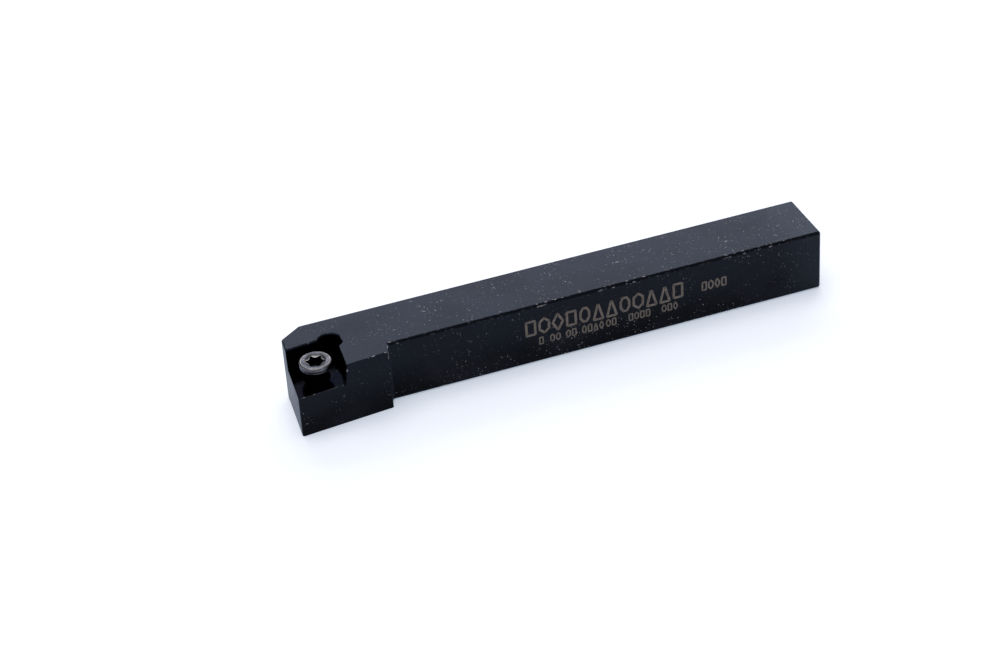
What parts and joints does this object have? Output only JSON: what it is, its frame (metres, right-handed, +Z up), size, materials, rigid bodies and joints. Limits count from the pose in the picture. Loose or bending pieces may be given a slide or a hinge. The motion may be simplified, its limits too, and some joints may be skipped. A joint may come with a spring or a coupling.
{
  "type": "turning tool holder",
  "caption": "Square-shank right-hand turning tool holder in black steel, with a rhombic insert pocket milled into its angled head and a lobed-socket clamp screw in the pocket.",
  "frame": {"origin": "on the base, on the shank's centre line, half the overall length behind the cutting corner", "axes": "+X along the shank from the cutting end to the tail, +Y to the shank's back face, +Z up, out of the insert's seat"},
  "size_m": [0.0995, 0.0156, 0.012],
  "materials": {
    "holder_steel": "black oxide, oiled",
    "screw_steel": "worn grey steel"
  },
  "bodies": {
    "holder": {"holder_body": "holder_steel"},
    "screw": {"clamp_screw": "screw_steel"}
  },
  "joints": [
    {"name": "screw_travel", "type": "slide", "parent": "holder", "child": "screw", "axis": [0, 0, 1], "range_m": [-0.0007, 0.0063]}
  ]
}
